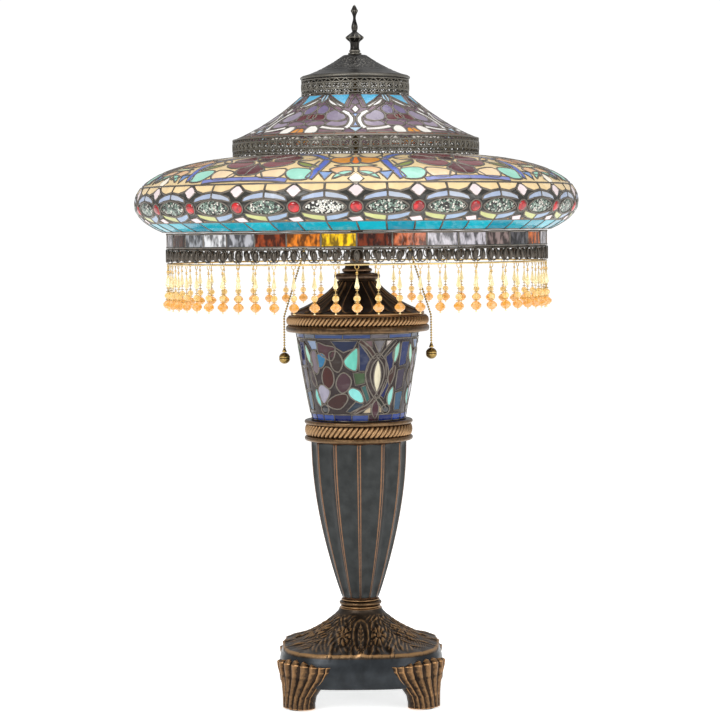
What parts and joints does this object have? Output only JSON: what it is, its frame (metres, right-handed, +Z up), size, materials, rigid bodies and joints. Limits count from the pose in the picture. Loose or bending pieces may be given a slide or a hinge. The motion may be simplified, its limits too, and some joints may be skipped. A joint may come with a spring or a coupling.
{
  "type": "leaded glass table lamp",
  "caption": "Table lamp: domed leaded mosaic glass shade with a bead fringe and pull chains, on a lit glass urn, fluted column and cast footed base.",
  "frame": {"origin": "on the floor under the lamp's upright axis, level with the under side of the foot pads", "axes": "+Z up along the lamp's axis, the front faces -Y, the two pull chains hang at -X and +X"},
  "size_m": [0.509, 0.509, 0.7983],
  "materials": {
    "bronze": "dark antique bronze over cast metal, copper rubbed through on the high edges",
    "copper": "antique copper, dark in the recesses",
    "pewter": "antique pewter, satin",
    "steel": "zinc plated",
    "iron": "raw casting",
    "brass": "antique brass",
    "rubber": "matt black",
    "phenolic": "moulded, satin",
    "bulb_glass": "frosted warm white",
    "urn_glass": "leaded art glass, mostly navy and cobalt",
    "cone_glass": "leaded opalescent glass, sky blue, mauve and cream",
    "flower_glass": "leaded opalescent glass, cream with amber, blue and green",
    "medallion_glass": "leaded glass, cream, clear and pale blue with red jewels",
    "turquoise_glass": "turquoise art glass",
    "amber_glass": "ripple glass, amber to brown",
    "bead_glass": "faceted amber and clear gold glass beads"
  },
  "bodies": {
    "lamp": {"base_casting": "bronze", "base_skirt": "bronze", "foot_casting_1": "bronze", "foot_casting_2": "bronze", "foot_casting_3": "bronze", "foot_casting_4": "bronze", "bottom_cover": "steel", "ballast_disc": "iron", "base_clamp_nut": "brass", "base_clamp_washer": "steel", "foot_pad_1": "rubber", "foot_pad_2": "rubber", "foot_pad_3": "rubber", "foot_pad_4": "rubber", "lead_inlet_bushing": "rubber", "collar_ring": "copper", "fluted_column": "bronze", "rope_ring": "copper", "urn_seat_disc": "steel", "centre_pipe": "steel", "urn_glass": "urn_glass", "rope_rim": "copper", "urn_cap": "bronze", "turned_neck": "bronze", "neck_tube": "bronze", "urn_socket_bracket": "brass", "urn_socket": "phenolic", "urn_bulb_cap": "brass", "urn_bulb_glass": "bulb_glass", "cluster_body": "bronze", "socket_left": "phenolic", "socket_right": "phenolic", "pull_spout_left": "brass", "pull_spout_right": "brass", "riser_rod": "brass", "seat_nut": "brass"},
    "shade_seat": {"shade_seat_washer": "brass"},
    "shade": {"shade_cap": "pewter", "filigree_band_upper": "pewter", "cone_glass": "cone_glass", "filigree_band_lower": "pewter", "flower_glass": "flower_glass", "medallion_glass": "medallion_glass", "turquoise_glass": "turquoise_glass", "amber_glass_band": "amber_glass", "fringe_trim_ring": "pewter", "bead_fringe": "bead_glass"},
    "finial": {"finial_washer": "pewter", "finial": "pewter"},
    "pull_left": {"pull_chain_left": "brass", "pull_bell_left": "brass", "pull_ball_left": "brass"},
    "pull_right": {"pull_chain_right": "brass", "pull_bell_right": "brass", "pull_ball_right": "brass"},
    "bulb_left": {"bulb_cap_left": "brass", "bulb_glass_left": "bulb_glass"},
    "bulb_right": {"bulb_cap_right": "brass", "bulb_glass_right": "bulb_glass"}
  },
  "joints": [
    {"name": "shade_lift", "type": "slide", "parent": "lamp", "child": "shade_seat", "axis": [0, 0, 1], "range_m": [0, 0.31]},
    {"name": "shade_swivel", "type": "hinge", "parent": "shade_seat", "child": "shade", "pos_m": [0, 0, 0.7361], "axis": [0, 0, 1], "continuous": true},
    {"name": "finial_lift", "type": "slide", "parent": "shade", "child": "finial", "axis": [0, 0, 1], "range_m": [0, 0.0105]},
    {"name": "pull_left_draw", "type": "slide", "parent": "lamp", "child": "pull_left", "axis": [-0.3007, 0, -0.9537], "range_m": [0, 0.008], "stiffness_N_per_m": 150, "springref_m": -0.01},
    {"name": "pull_right_draw", "type": "slide", "parent": "lamp", "child": "pull_right", "axis": [0.3007, 0, -0.9537], "range_m": [0, 0.008], "stiffness_N_per_m": 150, "springref_m": -0.01},
    {"name": "bulb_left_out", "type": "slide", "parent": "lamp", "child": "bulb_left", "axis": [-1, 0, 0], "range_m": [0, 0.03]},
    {"name": "bulb_right_out", "type": "slide", "parent": "lamp", "child": "bulb_right", "axis": [1, 0, 0], "range_m": [0, 0.03]}
  ]
}
